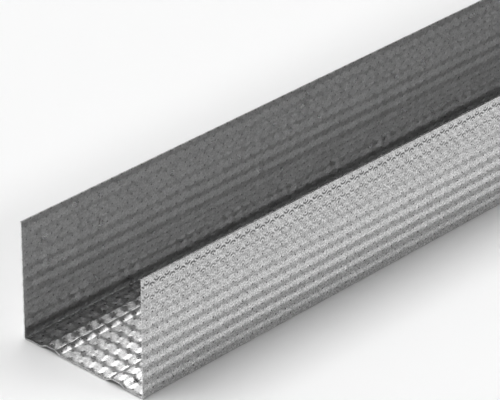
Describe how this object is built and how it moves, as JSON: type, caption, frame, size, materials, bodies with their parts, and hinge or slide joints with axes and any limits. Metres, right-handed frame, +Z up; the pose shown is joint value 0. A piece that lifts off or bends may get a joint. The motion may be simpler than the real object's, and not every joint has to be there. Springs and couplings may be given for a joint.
{
  "type": "metal stud track",
  "caption": "U-shaped galvanised steel wall track with a ribbed web and two plain upright legs, which holds the ends of metal wall studs.",
  "frame": {"origin": "on the underside of the web, in the middle of the track's length and of its width", "axes": "+X along the track, +Y across the web, +Z up the legs, away from the floor that the web lies on"},
  "size_m": [3.048, 0.0644, 0.0516],
  "materials": {
    "galvanised_sheet": "bright zinc coating, embossed all over with small dimples"
  },
  "bodies": {
    "root": {"stud_track": "galvanised_sheet"}
  },
  "joints": []
}
